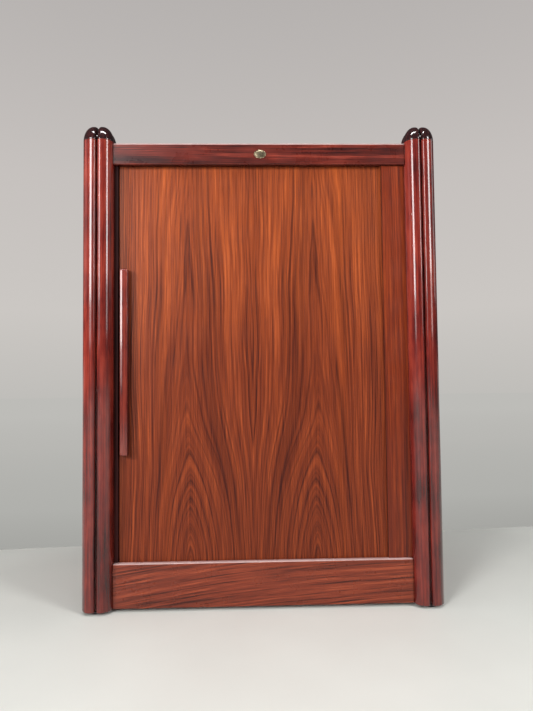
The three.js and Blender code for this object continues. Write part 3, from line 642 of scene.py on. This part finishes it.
def make_brass():
    """Aged brass: brown in the hollows, brighter where it is rubbed."""
    g = material_graph("aged_brass")
    x, y, z = g.place()
    cloud = g.noise(g.vector(x, y, z), scale=260.0, detail=3, rough=0.6)
    colour = g.ramp(cloud, [(0.3, srgb(90, 78, 60)), (0.55, srgb(156, 142, 116)), (0.8, srgb(196, 184, 160))])
    g.plug(g.shader.inputs["Base Color"], colour)
    g.plug(g.shader.inputs["Roughness"], g.span(cloud, 0.3, 0.75, 0.42, 0.24))
    brush = g.stretched((x, 300.0), (y, 300.0), (z, 4000.0), detail=1)
    g.plug(g.shader.inputs["Normal"], g.bump(brush, 0.15, 0.05 * MM))
    g.shader.inputs["Metallic"].default_value = 1.0
    return g.material


def make_steel():
    """Bright screw steel with turning marks."""
    g = material_graph("screw_steel")
    x, y, z = g.place()
    marks = g.noise(g.vector(x, y, z), scale=900.0)
    colour = g.ramp(marks, [(0.3, srgb(120, 118, 114)), (0.8, srgb(176, 174, 170))])
    g.plug(g.shader.inputs["Base Color"], colour)
    g.plug(g.shader.inputs["Roughness"], g.span(marks, 0.3, 0.7, 0.28, 0.45))
    g.shader.inputs["Metallic"].default_value = 1.0
    return g.material


def make_glide_plastic():
    """Dark plastic foot, scuffed and a little dusty."""
    g = material_graph("glide_plastic")
    x, y, z = g.place()
    scuff = g.noise(g.vector(x, y, z), scale=120.0, detail=3)
    g.plug(g.shader.inputs["Base Color"], g.ramp(scuff, [(0.4, srgb(24, 20, 20)), (0.8, srgb(56, 50, 48))]))
    g.plug(g.shader.inputs["Roughness"], g.span(scuff, 0.3, 0.7, 0.5, 0.75))
    g.plug(g.shader.inputs["Normal"], g.bump(scuff, 0.2, 0.3 * MM))
    return g.material


THREAD_PITCH = 1 * MM


def make_canvas_cloth():
    """Plain-woven cotton: warp and weft a millimetre apart, with slubs and a soft sheen."""
    g = material_graph("canvas_cloth")
    across, along, depth = g.place(from_uv=True)
    turn = 2 * math.pi / THREAD_PITCH
    weave = g.times(g.math("SINE", g.times(across, turn)), g.math("SINE", g.times(along, turn)))
    slub = g.stretched((across, 90.0), (along, 500.0), 0.0)
    tone = g.plus(g.times(weave, 0.12), slub)
    colour = g.ramp(tone, [(0.3, srgb(112, 98, 74)), (0.75, srgb(168, 154, 126))])
    g.plug(g.shader.inputs["Base Color"], colour)
    g.plug(g.shader.inputs["Normal"], g.bump(weave, 0.5, 0.3 * MM))
    g.plug(g.shader.inputs["Roughness"], g.span(slub, 0.2, 0.8, 0.8, 0.95))
    g.shader.inputs["Sheen Weight"].default_value = 0.2
    return g.material


ebonised_wood = make_ebonised()
brass = make_brass()
steel = make_steel()
glide_plastic = make_glide_plastic()
canvas_cloth = make_canvas_cloth()


# CAD nodes that keep their shape get a finish, softened edges and smooth rounds

FINISHES = {
    "front_top_rail": top_rail_wood,
    "back_top_rail": top_rail_wood,
    "front_bottom_rail": plinth_wood,
    "back_bottom_rail": plinth_wood,
    "left_top_rail": side_rail_wood,
    "right_top_rail": side_rail_wood,
    "left_bottom_rail": side_rail_wood,
    "right_bottom_rail": side_rail_wood,
    "left_side_panel": panel_wood,
    "right_side_panel": panel_wood,
    "back_panel": back_wood,
    "top_panel": top_wood,
    "fixed_stile": stile_wood,
    "strike_stile": strike_wood_and_shade,
    "lead_stile": lead_wood,
    "tambour_corner": stile_wood,
    "ceiling_track_board": inside_flat,
    "floor_track_board": inside_flat,
    "floor_cleat_left": inside_flat,
    "floor_cleat_right": inside_flat,
    "left_liner": inside_upright,
    "right_liner": inside_upright,
    "back_liner": inside_back,
    "shelf_lower": inside_flat,
    "shelf_upper": inside_flat,
}
EASED_RAILS = ("front_top_rail", "front_bottom_rail")
SAME_POINT = 0.01 * MM
EDGE_SOFTNESS = 0.7 * MM
SMALL_EDGE_SOFTNESS = 0.2 * MM
EDGE_STEPS = 2
RAIL_EDGE_ROUND = 2.4 * MM
RAIL_EDGE_STEPS = 4
ROUND_ANGLE = 40
FLAT_FACE_WEIGHT = 100


def finish_for(name):
    """Material and edge softness of a CAD node, or no material where a piece replaces it."""
    if name in FINISHES:
        return FINISHES[name], EDGE_SOFTNESS
    if name.startswith("divider"):
        return inside_upright, EDGE_SOFTNESS
    if name.startswith("shelf_pin"):
        return brass, SMALL_EDGE_SOFTNESS
    if name.startswith("handle_screw"):
        return steel, SMALL_EDGE_SOFTNESS
    if name.startswith("glide"):
        return glide_plastic, SMALL_EDGE_SOFTNESS
    return None, 0.0


def dress_cad_nodes():
    for name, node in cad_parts.items():
        material, softness = finish_for(name)
        if material is None:
            continue
        node.data.materials.clear()
        node.data.materials.append(material)
        node.data.polygons.foreach_set("use_smooth", [True] * len(node.data.polygons))
        node.data.set_sharp_from_angle(angle=math.radians(ROUND_ANGLE))
        node.modifiers.new("joined_faces", "WELD").merge_threshold = SAME_POINT
        bevel = node.modifiers.new("soft_edges", "BEVEL")
        bevel.width = softness
        bevel.segments = EDGE_STEPS
        bevel.limit_method = "ANGLE"
        bevel.angle_limit = math.radians(ROUND_ANGLE)
        if name in EASED_RAILS:
            bevel.use_clamp_overlap = False
            bevel.width = RAIL_EDGE_ROUND
            bevel.segments = RAIL_EDGE_STEPS
        node.modifiers.new("even_shading", "WEIGHTED_NORMAL").weight = FLAT_FACE_WEIGHT


# Posts and caps

POST_CHAMFER = 1.8 * MM
DOME_RINGS = 26
CAP_SEAM = 0.35 * MM


def make_posts():
    levels = [
        (post_outline(POST_CHAMFER), POST_BOTTOM),
        (post_outline(POST_CHAMFER * 0.3), POST_BOTTOM + POST_CHAMFER * 0.7),
        (post_outline(), POST_BOTTOM + POST_CHAMFER * 1.6),
        (post_outline(), POST_TOP - CAP_SEAM),
        (post_outline(CAP_SEAM), POST_TOP),
    ]
    for corner, (x, y) in CORNERS.items():
        rings = [[(x + u, y + v, z) for u, v in section] for section, z in levels]
        vertices, faces = skin(rings, POST_BOTTOM, POST_TOP)
        add_mesh(f"post_{corner}_fluted", vertices, faces, post_wood, "cabinet", f"post_{corner}",
                 sharp=38)


def dome_point(u, v, rise):
    """A point of the section, carried up and inwards. The groove's floor rises less than its lips."""
    x, y = abs(u), abs(v)
    shorter, longer = min(x, y), max(x, y)
    if shorter > CORNER_CENTRE:
        share = math.cos(rise)
        x = CORNER_CENTRE + (x - CORNER_CENTRE) * share
        y = CORNER_CENTRE + (y - CORNER_CENTRE) * share
        return math.copysign(x, u), math.copysign(y, v), DOME_HEIGHT * math.sin(rise)
    drop = DOME_CREASE_DEPTH * (POST_HALF - longer) / (POST_HALF - GROOVE_REACH)
    inwards = max(shorter, longer - CORNER_RADIUS * (1 - math.cos(rise)))
    height = (DOME_HEIGHT - drop) * math.sin(rise)
    if x > y:
        return math.copysign(inwards, u), v, height
    return u, math.copysign(inwards, v), height


def make_caps():
    outline = post_outline()
    last_rise = math.acos(DOME_TOP_INSET / CORNER_RADIUS)
    for corner, (x, y) in CORNERS.items():
        rings = [[(x + u, y + v, POST_TOP + CAP_SEAM / 4) for u, v in post_outline(CAP_SEAM)]]
        for ring in range(DOME_RINGS):
            points = [dome_point(u, v, ring / (DOME_RINGS - 1) * last_rise) for u, v in outline]
            rings.append([(x + u, y + v, POST_TOP + max(z, CAP_SEAM)) for u, v, z in points])
        vertices, faces = skin(rings, POST_TOP + CAP_SEAM / 4, POST_TOP + DOME_HEIGHT - DOME_CREASE_DEPTH)
        add_mesh(f"cap_{corner}_dome", vertices, faces, ebonised_wood, "cabinet", f"cap_{corner}",
                 sharp=60)


# The tambour curtain: slats with hairline joints, glued to canvas

SLAT_COUNT = 57
JOINT_WIDTH = 0.32 * MM
JOINT_DEPTH = 0.5 * MM
SLAT_CROWN = 0.03 * MM
CANVAS_COLUMNS = 80
CANVAS_THICKNESS = 0.8 * MM
CORNER_CANVAS_STEPS = 15


def add_rest_uv(piece, flat):
    """Stores where each point lies at rest, so that the grain stays on it when the curtain closes up."""
    layer = piece.data.uv_layers.new(name="rest")
    for loop in piece.data.loops:
        layer.data[loop.index].uv = flat(piece.data.vertices[loop.vertex_index].co)


def slat_profile(left, right, front, count):
    """Front line of the curtain in plan: low crowns between hairline joints."""
    pitch = (right - left) / count
    points = [(left, front + JOINT_DEPTH)]
    for i in range(count):
        start = left + i * pitch
        near, far = start + JOINT_WIDTH / 2, start + pitch - JOINT_WIDTH / 2
        middle = (near + far) / 2
        points.append((near, front + SLAT_CROWN))
        points.append((near + JOINT_WIDTH, front + SLAT_CROWN / 3))
        points.append((middle, front))
        points.append((far - JOINT_WIDTH, front + SLAT_CROWN / 3))
        points.append((far, front + SLAT_CROWN))
        points.append((start + pitch, front + JOINT_DEPTH))
    return points


def extrude_plan(outline, bottom, top):
    rings = [[(x, y, z) for x, y in outline] for z in (bottom, top)]
    return loft(rings)


def close_up(piece):
    """Gives the piece a mesh of its own."""
    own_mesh(piece)


def make_curtain():
    low, high = SLATS_BOX
    outline = slat_profile(low.x, high.x, low.y, SLAT_COUNT) + [(high.x, high.y), (low.x, high.y)]
    vertices, faces = extrude_plan(outline, low.z, high.z)
    slats = add_mesh("tambour_curtain", vertices, faces, door_wood, "door", "tambour_slats",
                     sharp=25)
    add_rest_uv(slats, lambda co: (co.x, co.z))
    close_up(slats)
    return slats


def make_canvas():
    low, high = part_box("tambour_canvas")
    front = [(low.x + (high.x - low.x) * i / CANVAS_COLUMNS, low.y) for i in range(CANVAS_COLUMNS + 1)]
    outline = front + [(x, high.y) for x, _ in reversed(front)]
    vertices, faces = extrude_plan(outline, low.z, high.z)
    cloth = add_mesh("tambour_canvas_cloth", vertices, faces, canvas_cloth, "door", "tambour_canvas",
                     sharp=30)
    add_rest_uv(cloth, lambda co: (co.x, co.z))
    close_up(cloth)


def make_corner_canvas():
    """The cloth behind the slats in the front right corner: a quarter turn and a short straight."""
    low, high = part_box("tambour_corner_canvas")
    outer = high.x - low.x
    inner = outer - CANVAS_THICKNESS
    centre_y = low.y + outer
    outline = arc(low.x, centre_y, outer, -math.pi / 2, 0, CORNER_CANVAS_STEPS)
    outline += [(high.x, high.y), (high.x - CANVAS_THICKNESS, high.y)]
    outline += arc(low.x, centre_y, inner, 0, -math.pi / 2, CORNER_CANVAS_STEPS)
    vertices, faces = extrude_plan(outline, low.z, high.z)
    cloth = add_mesh("corner_canvas_cloth", vertices, faces, canvas_cloth, "cabinet", "tambour_corner_canvas",
                     sharp=30)
    add_rest_uv(cloth, lambda co: (co.x + co.y, co.z))


# The pull: a long bar with a narrow facet, eased all round, with a cove for the fingertips

HANDLE_ROUND = 1.6 * MM
HANDLE_FACET_WIDTH = 3.4 * MM
HANDLE_FACET_FALL = 0.6 * MM
HANDLE_FACET_SHARES = (0.08, 0.92, 1.0, 1.08)
HANDLE_LEAST_ROUND = 1 * MM
HANDLE_ROUND_STEPS = 8
HANDLE_COVE_RADIUS = 8 * MM
HANDLE_COVE_DEPTH = 1.5 * MM
HANDLE_COVE_FROM_BACK = 0.3 * MM
HANDLE_COVE_STEPS = 12
HANDLE_END_ROUND = 5 * MM
HANDLE_END_STEPS = 8
HANDLE_TOP_SETBACK = 9 * MM


def handle_section(half, proud, inset):
    """Section in plan, drawn in by an inset towards the ends."""
    half -= inset
    front = -proud + inset
    radius = max(HANDLE_ROUND - inset / 2, HANDLE_LEAST_ROUND)
    cove = math.acos((HANDLE_COVE_RADIUS - HANDLE_COVE_DEPTH) / HANDLE_COVE_RADIUS)
    cove_half = HANDLE_COVE_RADIUS * math.sin(cove)
    cove_x = half + HANDLE_COVE_RADIUS - HANDLE_COVE_DEPTH
    cove_y = -cove_half - HANDLE_COVE_FROM_BACK
    points = [(-half, 0.0)]
    facet_left = -half + radius
    facet_right = facet_left + HANDLE_FACET_WIDTH - inset / 2
    points += arc(facet_left, front + HANDLE_FACET_FALL + radius, radius, math.pi, 1.5 * math.pi,
                  HANDLE_ROUND_STEPS)
    for share in HANDLE_FACET_SHARES:
        x = facet_left + (facet_right - facet_left) * share
        points.append((x, front + HANDLE_FACET_FALL * max(1 - share, 0)))
    points += arc(half - radius, front + radius, radius, -math.pi / 2, 0, HANDLE_ROUND_STEPS)
    points += arc(cove_x, cove_y, HANDLE_COVE_RADIUS, math.pi + cove, math.pi - cove, HANDLE_COVE_STEPS)
    points.append((half, 0.0))
    return points


def make_handle():
    low, high = HANDLE_BOX
    centre_x = (low.x + high.x) / 2
    half = (high.x - low.x) / 2
    proud = high.y - low.y
    rings = []
    for i in range(HANDLE_END_STEPS + 1):
        angle = math.pi / 2 * i / HANDLE_END_STEPS
        inset = HANDLE_END_ROUND * (1 - math.sin(angle))
        z = low.z + HANDLE_END_ROUND * (1 - math.cos(angle))
        rings.append((inset, z))
    rings += [(inset, low.z + high.z - HANDLE_TOP_SETBACK - z) for inset, z in reversed(rings)]
    loops = [[(centre_x + u, high.y + v, z) for u, v in handle_section(half, proud, inset)]
             for inset, z in rings]
    vertices, faces = loft(loops)
    add_mesh("pull_bar", vertices, faces, handle_wood, "door", "pull_handle", sharp=45)


# Oval plate: a low crown inside a thin raised rim

BADGE_STEPS = 72
# From the edge to the middle: share of the half width and of the thickness
BADGE_PROFILE = [
    (1.0, 0.0), (1.0, 0.42), (0.985, 0.55), (0.95, 0.6), (0.92, 0.55), (0.9, 0.5), (0.8, 0.66), (0.6, 0.84),
    (0.35, 0.95), (0.15, 0.99),
]


def make_badge():
    low, high = BADGE_BOX
    centre_x = (low.x + high.x) / 2
    centre_z = (low.z + high.z) / 2
    thick = high.y - low.y
    rings = []
    for reach, rise in BADGE_PROFILE:
        ring = []
        for i in range(BADGE_STEPS):
            angle = -2 * math.pi * i / BADGE_STEPS
            ring.append((
                centre_x + (high.x - low.x) / 2 * reach * math.cos(angle),
                high.y - thick * rise,
                centre_z - (high.z - low.z) / 2 * reach * math.sin(angle),
            ))
        rings.append(ring)
    vertices, faces = loft(rings)
    add_mesh("badge_oval", vertices, faces, brass, "cabinet", "badge_plate", sharp=60)


# Floor, wall tone, light and camera

FLOOR_HALF = 14.0
FLOOR_TONE = srgb(221, 222, 216)
FLOOR_SHADE = 0.95
# The floor meets the wall on a slightly slanting line behind the cabinet, and beyond it glows in the wall's
# tones: painted light, darker near the line
WALL_LINE_AT_MIDDLE = 317 * MM
WALL_LINE_SLOPE = 0.0846
WALL_LINE_BLUR = 6 * MM
# Tones of the backdrop by the rise of the line of sight, and of the far floor by metres beyond that line
BACKDROP_TONES = [
    (-0.26, srgb(168, 168, 165)),
    (-0.1, srgb(186, 185, 181)),
    (0.12, srgb(203, 199, 195)),
    (0.34, srgb(198, 193, 190)),
    (0.6, srgb(181, 177, 175)),
]
FAR_FLOOR_TONES = [
    (0.0, srgb(166, 166, 162)),
    (0.5, srgb(176, 176, 172)),
    (2.5, srgb(184, 183, 179)),
    (6.0, srgb(189, 188, 184)),
]
ROOM_TONE = (0.07, 0.07, 0.07)


def scaled_ramp(g, value, stops):
    """Colours at places that may lie outside 0 to 1."""
    low, high = stops[0][0], stops[-1][0]
    shares = [((place - low) / (high - low), colour) for place, colour in stops]
    return g.ramp(g.span(value, low, high, smooth=False), shares)


def make_floor():
    mesh = bpy.data.meshes.new("studio_floor")
    corners = [(x * FLOOR_HALF, y * FLOOR_HALF, 0) for x, y in ((-1, -1), (1, -1), (1, 1), (-1, 1))]
    mesh.from_pydata(corners, [], [(0, 1, 2, 3)])
    floor = bpy.data.objects.new("studio_floor", mesh)
    scene.collection.objects.link(floor)
    g = material_graph("pale_floor")
    x, y, z = g.place()
    cloud = g.noise(g.vector(x, y, z), scale=2.5, detail=4, rough=0.6)
    low = tuple(c * FLOOR_SHADE for c in FLOOR_TONE)
    g.plug(g.shader.inputs["Base Color"], g.ramp(cloud, [(0.3, low), (0.7, FLOOR_TONE)]))
    g.plug(g.shader.inputs["Roughness"], g.span(cloud, 0.3, 0.7, 0.42, 0.6))
    behind = g.minus(g.minus(y, WALL_LINE_AT_MIDDLE), g.times(x, WALL_LINE_SLOPE))
    # Painted light: the far floor glows in place of a lit wall
    glow = g.node("ShaderNodeEmission")
    g.plug(glow.inputs["Color"], scaled_ramp(g, behind, FAR_FLOOR_TONES))
    mix = g.node("ShaderNodeMixShader")
    g.plug(mix.inputs[0], g.span(behind, 0.0, WALL_LINE_BLUR))
    g.plug(mix.inputs[1], g.shader.outputs["BSDF"])
    g.plug(mix.inputs[2], glow.outputs[0])
    g.plug(g.tree.nodes["Material Output"].inputs["Surface"], mix.outputs[0])
    mesh.materials.append(g.material)
    return floor


def make_world():
    """The camera sees a backdrop lit in the middle. Everything else sees a dimmer, even room."""
    world = bpy.data.worlds.new("studio")
    world.use_nodes = True
    g = Graph(world.node_tree)
    split = g.node("ShaderNodeSeparateXYZ")
    g.plug(split.inputs[0], g.node("ShaderNodeTexCoord").outputs["Generated"])
    wall = g.tree.nodes["Background"]
    g.plug(wall.inputs["Color"], scaled_ramp(g, split.outputs[2], BACKDROP_TONES))
    room = g.node("ShaderNodeBackground")
    g.plug(room.inputs["Color"], (*ROOM_TONE, 1))
    mix = g.node("ShaderNodeMixShader")
    g.plug(mix.inputs[0], g.node("ShaderNodeLightPath").outputs["Is Camera Ray"])
    g.plug(mix.inputs[1], room.outputs[0])
    g.plug(mix.inputs[2], wall.outputs[0])
    g.plug(g.tree.nodes["World Output"].inputs["Surface"], mix.outputs[0])
    scene.world = world


# Windows round the cabinet: name, middle of the lower edge, width, height and watts. The two in front have a
# dimmer pane at the foot, so that their glints fade out downwards
WINDOWS = [
    ("window_left", (-1.55, -2.6, 0.8), 0.8, 1.6, 72),
    ("window_right", (2.09, -1.99, 1.0), 0.68, 1.6, 52),
    ("window_left_foot", (-1.55, -2.6, 0.4), 0.8, 0.4, 4),
    ("window_right_foot", (2.09, -1.99, 0.5), 0.68, 0.5, 5),
    ("window_right_side", (3.3, -0.1, 0.9), 1.0, 1.5, 8),
    ("window_left_side", (-3.3, -0.5, 0.9), 2.2, 1.5, 6),
]
AIM = Vector((0.0, -0.2, 0.0))
# The key light comes from far left, throws the pull's shadow and leaves the floor alone. The ceiling's tube
# makes the glints on caps and edges. Each has its middle, its size or sizes, and its watts
KEY_LIGHT = ((-2.67, -2.04, 1.7), 0.35, 0.5, 149)
CEILING_PANEL = ((-0.3, -0.8, 3.6), 3.0, 80)
CEILING_TUBE = ((-0.1, -1.2, 2.9), 1.6, 0.2, 40)


def add_area_light(name, spot, toward, width, height, watts):
    data = bpy.data.lights.new(name, "AREA")
    data.shape = "RECTANGLE"
    data.size = width
    data.size_y = height
    data.energy = watts
    lamp = bpy.data.objects.new(name, data)
    scene.collection.objects.link(lamp)
    lamp.matrix_world = Matrix.Translation(spot) @ toward.to_track_quat("-Z", "Y").to_matrix().to_4x4()
    lamp.visible_camera = False
    return lamp


def leave_out(lamp, lit_by_others):
    """The lamp lights everything but this object."""
    left_out = bpy.data.collections.new(lamp.name + "_leaves_out")
    left_out.objects.link(lit_by_others)
    lamp.light_linking.receiver_collection = left_out
    left_out.collection_objects[0].light_linking.link_state = "EXCLUDE"


def make_lights(floor):
    for name, (x, y, sill), width, height, watts in WINDOWS:
        spot = Vector((x, y, sill + height / 2))
        add_area_light(name, spot, Vector((AIM.x - x, AIM.y - y, 0)), width, height, watts)
    spot, width, height, watts = KEY_LIGHT
    toward = Vector((AIM.x - spot[0], AIM.y - spot[1], 0))
    key = add_area_light("key_left", Vector(spot), toward, width, height, watts)
    key.visible_glossy = False
    leave_out(key, floor)
    spot, size, watts = CEILING_PANEL
    panel = add_area_light("ceiling_panel", Vector(spot), Vector((0, 0, -1)), size, size, watts)
    panel.visible_glossy = False
    spot, length, width, watts = CEILING_TUBE
    tube = add_area_light("ceiling_tube", Vector(spot), Vector((0, 0, -1)), length, width, watts)
    tube.visible_diffuse = False


# The camera stands about 1.2 m in front of the posts, a little left of the middle, and looks slightly up
CAMERA_PLACE = Vector((-21.0, -1410.0, 511.6)) * MM
CAMERA_YAW = 1.481
CAMERA_PITCH = 2.405
CAMERA_ROLL = -0.616
FOCAL_PIXELS = 534
LONG_SIDE_PIXELS = 711
SENSOR_LONG_SIDE = 36


def make_camera():
    data = bpy.data.cameras.new("camera")
    data.sensor_width = SENSOR_LONG_SIDE
    data.lens = FOCAL_PIXELS / LONG_SIDE_PIXELS * SENSOR_LONG_SIDE
    data.clip_start = 0.05
    data.clip_end = 60
    camera = bpy.data.objects.new("camera", data)
    scene.collection.objects.link(camera)
    turn = (Matrix.Rotation(math.radians(-CAMERA_YAW), 4, "Z")
            @ Matrix.Rotation(math.radians(90 + CAMERA_PITCH), 4, "X")
            @ Matrix.Rotation(math.radians(CAMERA_ROLL), 4, "Z"))
    camera.matrix_world = Matrix.Translation(CAMERA_PLACE) @ turn
    scene.camera = camera
    scene.view_settings.view_transform = "Standard"
    scene.view_settings.look = "None"


make_camera()
make_world()
make_lights(make_floor())
dress_cad_nodes()
make_posts()
make_caps()
curtain = make_curtain()
make_canvas()
make_corner_canvas()
make_handle()
make_badge()
